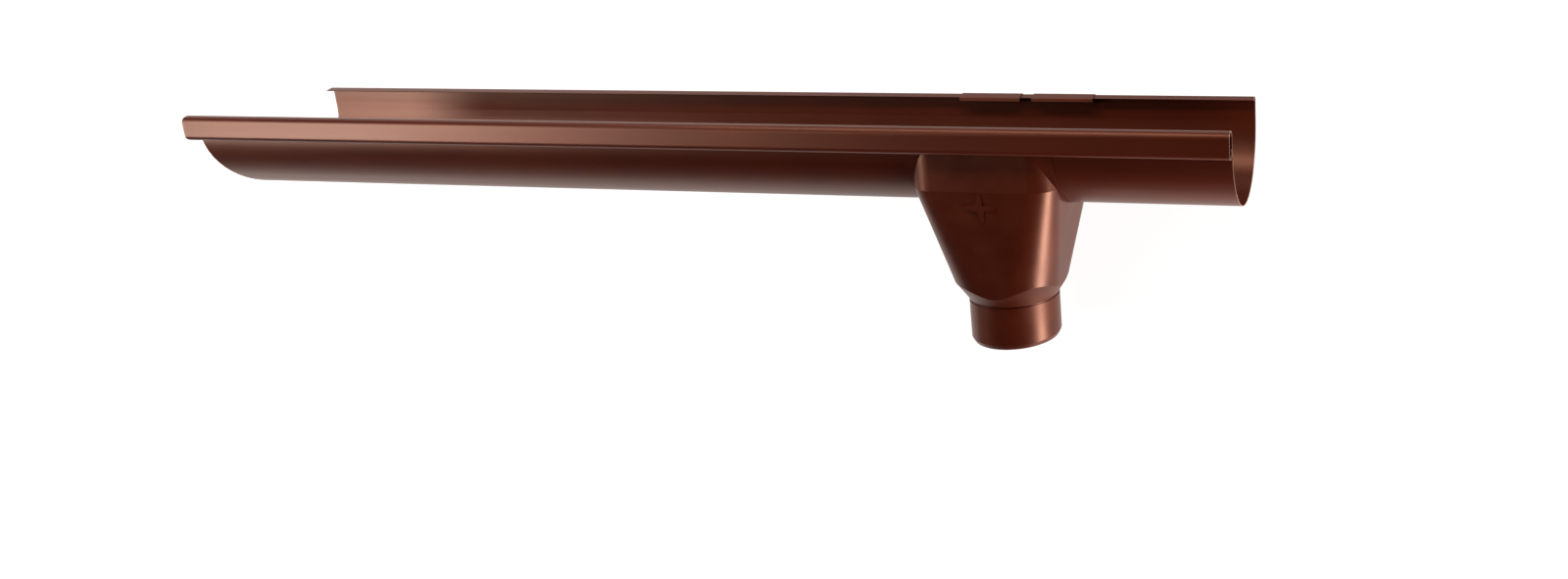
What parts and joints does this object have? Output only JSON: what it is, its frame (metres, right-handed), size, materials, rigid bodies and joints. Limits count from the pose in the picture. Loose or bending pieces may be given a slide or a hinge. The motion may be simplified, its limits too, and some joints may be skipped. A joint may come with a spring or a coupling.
{
  "type": "gutter section with outlet",
  "caption": "Half-round steel rain gutter length with a rolled front bead and a hook-on funnel outlet ending in a round downpipe spigot.",
  "frame": {"origin": "middle of the bottom of the part's box, on the floor that the part lies on, back down", "axes": "+X along the gutter towards its end near the outlet, +Y out through the trough's mouth (up when it hangs), +Z from the wall side to the bead side (up as it lies)"},
  "size_m": [1.2, 0.26, 0.1665],
  "materials": {
    "gutter_paint": "satin chocolate-brown coil coating on zinc-coated steel sheet",
    "outlet_paint": "satin chocolate-brown powder coating on zinc-coated steel sheet"
  },
  "bodies": {
    "root": {"gutter_channel": "gutter_paint", "outlet_funnel": "outlet_paint", "outlet_spigot": "outlet_paint"}
  },
  "joints": []
}
